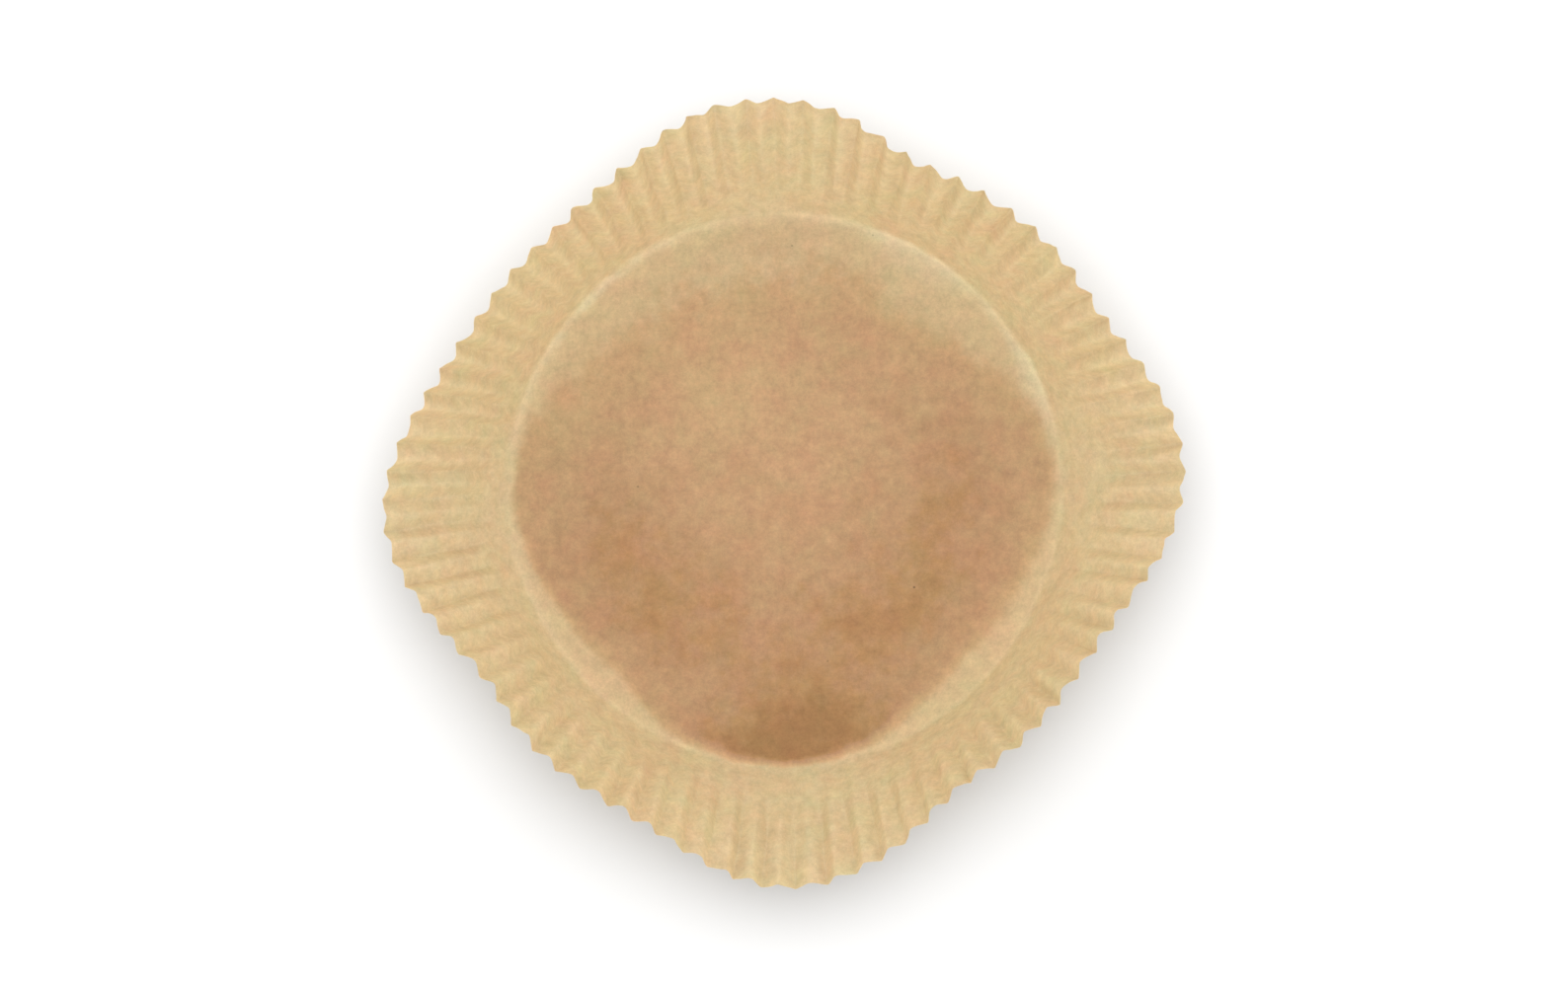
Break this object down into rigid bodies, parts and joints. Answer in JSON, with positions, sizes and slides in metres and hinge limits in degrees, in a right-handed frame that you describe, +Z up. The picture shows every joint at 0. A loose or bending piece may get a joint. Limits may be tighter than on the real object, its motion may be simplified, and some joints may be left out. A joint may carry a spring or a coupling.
{
  "type": "air fryer paper liner",
  "caption": "Shallow round dish pressed from one disc of brown baking paper, with a flat base and a pleated wall pulled to soft corners.",
  "frame": {"origin": "centre of the flat base, on its underside", "axes": "+Z up out of the dish; +Y is the far side of the dish in the picture; the four soft corners of the rim lie on the X and Y axes"},
  "size_m": [0.227, 0.2235, 0.0425],
  "materials": {
    "baking_paper": "unbleached greaseproof baking paper with a soft satin face, lightly browned on the base"
  },
  "bodies": {
    "root": {"paper_liner": "baking_paper"}
  },
  "joints": []
}
